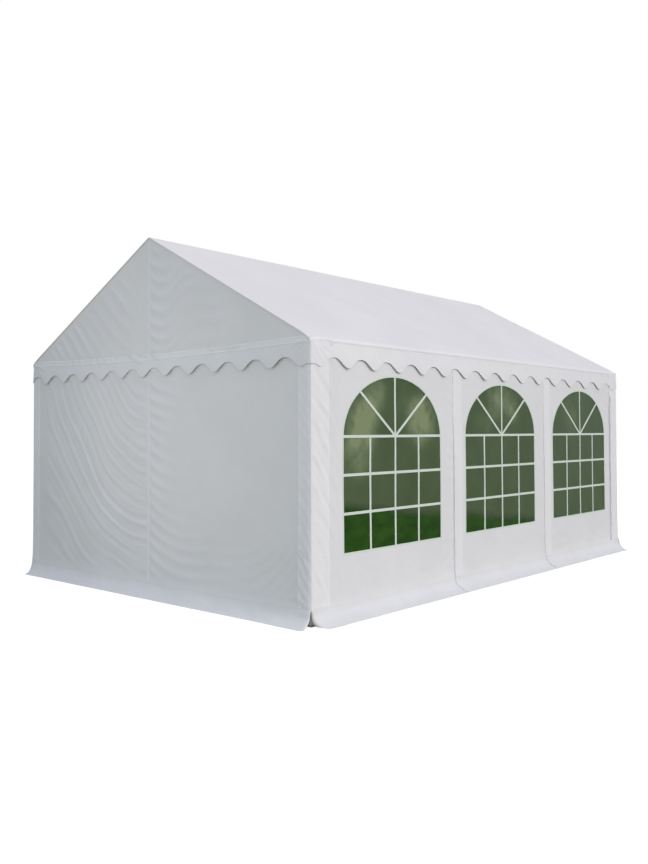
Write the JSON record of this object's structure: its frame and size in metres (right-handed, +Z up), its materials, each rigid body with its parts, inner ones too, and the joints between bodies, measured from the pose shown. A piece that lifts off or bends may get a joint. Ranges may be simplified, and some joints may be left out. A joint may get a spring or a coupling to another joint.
{
  "type": "marquee tent",
  "caption": "Gabled PVC marquee tent on a steel tube frame, with scalloped valances, arched film windows in the side walls, zipped end curtains and flared ground skirts.",
  "frame": {"origin": "middle of the footprint, on the ground", "axes": "+X across the tent to its right side wall, +Y along its length away from the front gable, +Z up"},
  "size_m": [4.3106, 6.3106, 3.3382],
  "materials": {
    "roof_pvc": "satin",
    "gable_pvc": "satin",
    "wall_pvc": "satin",
    "skirt_pvc": "satin",
    "window_film": "gloss",
    "galvanised_steel": "satin"
  },
  "bodies": {
    "root": {"ridge_tube": "galvanised_steel", "eave_tube_left": "galvanised_steel", "eave_tube_right": "galvanised_steel", "gable_tie_front": "galvanised_steel", "gable_tie_back": "galvanised_steel", "ground_rail_left": "galvanised_steel", "ground_rail_right": "galvanised_steel", "ground_bar_front": "galvanised_steel", "ground_bar_back": "galvanised_steel", "leg_left_1": "galvanised_steel", "leg_left_2": "galvanised_steel", "leg_left_3": "galvanised_steel", "leg_left_4": "galvanised_steel", "leg_right_1": "galvanised_steel", "leg_right_2": "galvanised_steel", "leg_right_3": "galvanised_steel", "leg_right_4": "galvanised_steel", "rafter_left_1": "galvanised_steel", "rafter_left_2": "galvanised_steel", "rafter_left_3": "galvanised_steel", "rafter_left_4": "galvanised_steel", "rafter_right_1": "galvanised_steel", "rafter_right_2": "galvanised_steel", "rafter_right_3": "galvanised_steel", "rafter_right_4": "galvanised_steel", "roof_cover": "roof_pvc", "valance_left": "roof_pvc", "valance_right": "roof_pvc", "gable_front": "gable_pvc", "gable_back": "gable_pvc", "side_wall_left": "wall_pvc", "side_wall_right": "wall_pvc", "front_wall_left": "wall_pvc", "front_wall_right": "wall_pvc", "back_wall_left": "wall_pvc", "back_wall_right": "wall_pvc", "skirt_left": "skirt_pvc", "skirt_right": "skirt_pvc", "skirt_front": "skirt_pvc", "skirt_back": "skirt_pvc", "window_left_1": "window_film", "window_left_2": "window_film", "window_left_3": "window_film", "window_right_1": "window_film", "window_right_2": "window_film", "window_right_3": "window_film"}
  },
  "joints": []
}
